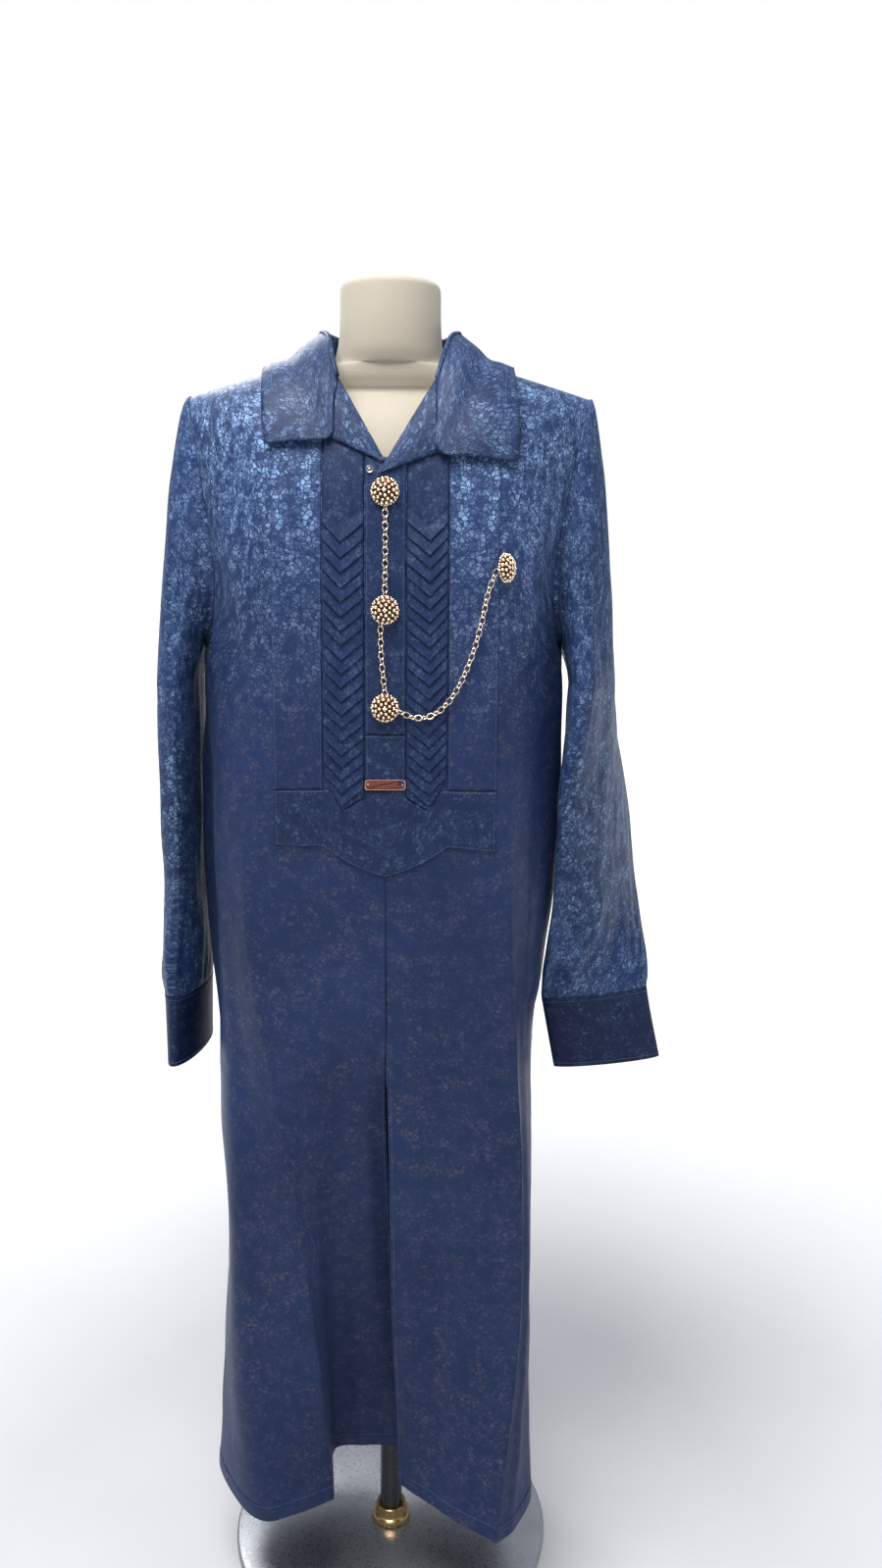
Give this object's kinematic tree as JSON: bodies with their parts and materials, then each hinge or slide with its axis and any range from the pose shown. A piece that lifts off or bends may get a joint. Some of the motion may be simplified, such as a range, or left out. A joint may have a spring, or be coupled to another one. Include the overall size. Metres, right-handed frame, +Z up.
{
  "type": "kaftan on a dress form stand",
  "caption": "Long kaftan with camp collar, pleated bib, pointed band, linked dome studs and side vents, worn by a limbless dress form on a pole and round base.",
  "frame": {"origin": "middle of the base plate's underside, on the pole's axis", "axes": "+Z up along the pole, the garment's front towards -Y, the wearer's left towards +X"},
  "size_m": [0.5366, 0.36, 1.385],
  "materials": {
    "jacquard": "royal blue tonal jacquard with a soft sheen",
    "bib_cloth": "the same blue cloth, pressed into tucks and topstitched",
    "stud_metal": "pale gold, granulated and polished",
    "bar_metal": "coppery, polished",
    "snap_metal": "silver",
    "form_cover": "cream knitted cover, matt",
    "pole_metal": "dark gloss",
    "socket_metal": "polished brass",
    "base_metal": "grey, polished"
  },
  "bodies": {
    "root": {"front_right": "jacquard", "front_left": "jacquard", "back": "jacquard", "sleeve_right": "jacquard", "sleeve_left": "jacquard", "cuff_right": "jacquard", "cuff_left": "jacquard", "collar": "jacquard", "lapel_right": "jacquard", "lapel_left": "jacquard", "placket": "bib_cloth", "placket_foot": "bib_cloth", "pleats_right": "bib_cloth", "pleats_left": "bib_cloth", "bib_right": "bib_cloth", "bib_left": "bib_cloth", "band": "bib_cloth", "stud_1": "stud_metal", "stud_2": "stud_metal", "stud_3": "stud_metal", "stud_4": "stud_metal", "chain_1": "stud_metal", "chain_2": "stud_metal", "chain_3": "stud_metal", "collar_snap": "snap_metal", "end_bar": "bar_metal", "form_torso": "form_cover", "stand_pole": "pole_metal", "pole_socket": "socket_metal", "base_plate": "base_metal"}
  },
  "joints": []
}
